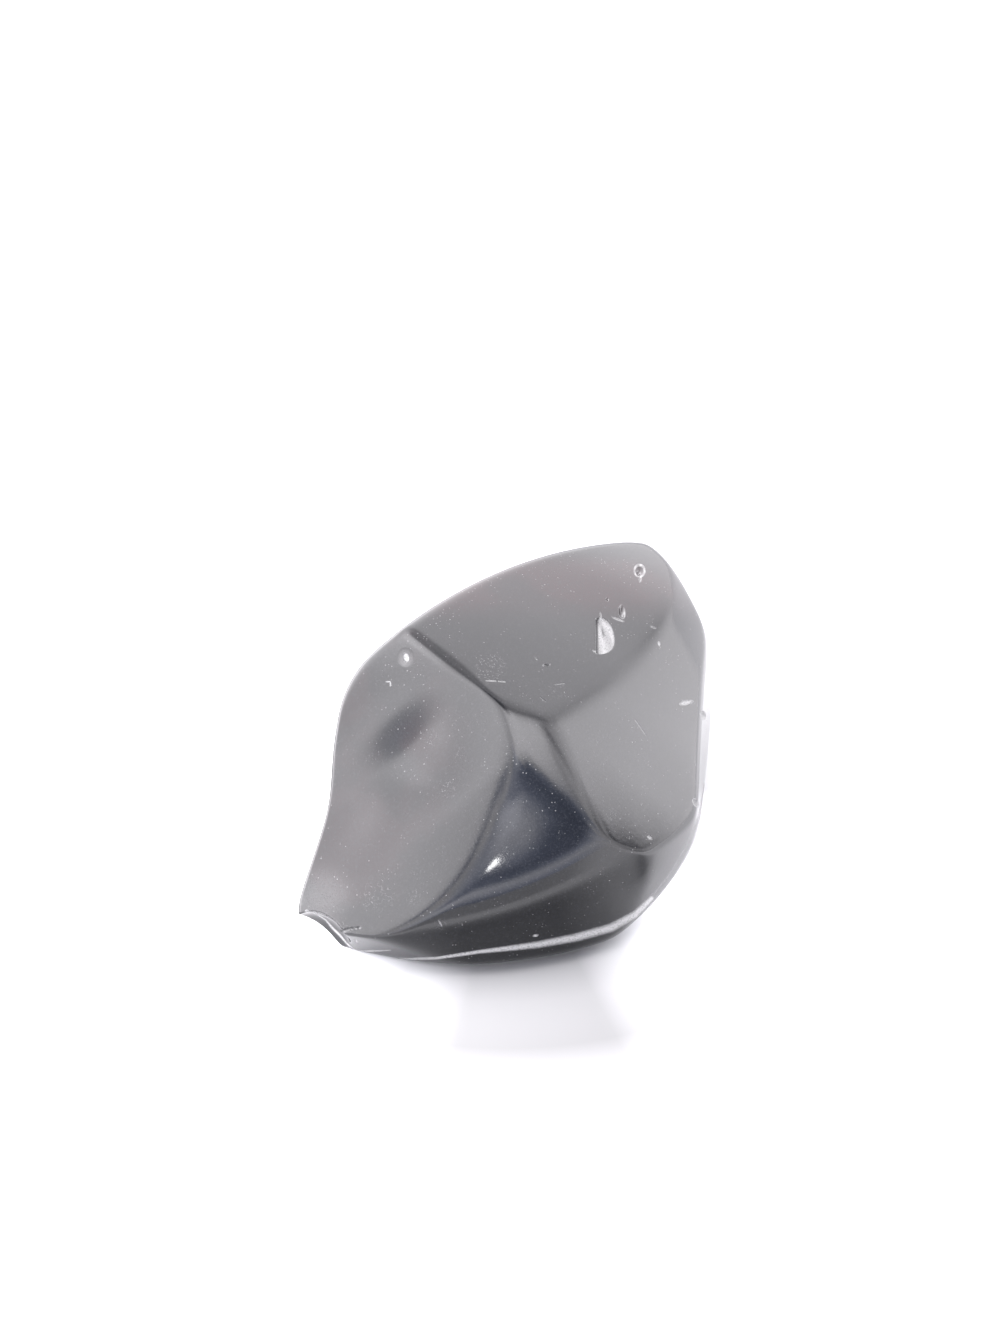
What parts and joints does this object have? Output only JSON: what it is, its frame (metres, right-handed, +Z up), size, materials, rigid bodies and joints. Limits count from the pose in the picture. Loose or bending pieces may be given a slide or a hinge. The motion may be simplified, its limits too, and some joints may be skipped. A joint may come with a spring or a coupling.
{
  "type": "obsidian chunk",
  "caption": "Tumbled lump of black obsidian with soft worn facets, a toe at the front left with a shell-shaped chip, and a flat base to rest on.",
  "frame": {"origin": "middle of the footprint, on the flat base, at the lowest point of the stone", "axes": "+Z up out of the base, +Y from the front of the stone to its back, +X to its right as seen from the front"},
  "size_m": [0.036, 0.043, 0.0235],
  "materials": {
    "obsidian": "tumble-polished black volcanic glass, mirror bright, with fine scratches and white chips"
  },
  "bodies": {
    "root": {"obsidian_chunk": "obsidian"}
  },
  "joints": []
}
